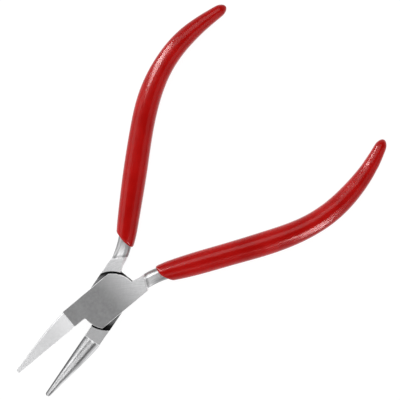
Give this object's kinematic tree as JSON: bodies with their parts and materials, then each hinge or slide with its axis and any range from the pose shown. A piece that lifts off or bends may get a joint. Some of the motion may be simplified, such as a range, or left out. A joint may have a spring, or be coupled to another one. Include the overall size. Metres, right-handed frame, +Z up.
{
  "type": "round and flat nose pliers",
  "caption": "Small jewellery pliers with a box joint, a tapered flat jaw against a tapered round jaw, and bowed handles in glossy dip-coated sleeves.",
  "frame": {"origin": "pivot axis at the joint's lower flat face", "axes": "+X towards the jaw tips along the bisector of the halves, +Y to the round jaw's side, +Z up along the pivot axis"},
  "size_m": [0.1275, 0.0753, 0.0084],
  "materials": {
    "half_steel": "satin ground, polished jaws",
    "rivet_steel": "ground flush",
    "grip_vinyl": "glossy dipped vinyl"
  },
  "bodies": {
    "flat_half": {"flat_jaw_half": "half_steel", "pivot_rivet": "rivet_steel", "flat_half_grip": "grip_vinyl"},
    "round_half": {"round_jaw_half": "half_steel", "round_half_grip": "grip_vinyl"}
  },
  "joints": [
    {"name": "jaw_pivot", "type": "hinge", "parent": "flat_half", "child": "round_half", "pos_m": [0, 0, 0.0042], "axis": [0, 0, 1], "range_deg": [-16.7, 26]}
  ]
}
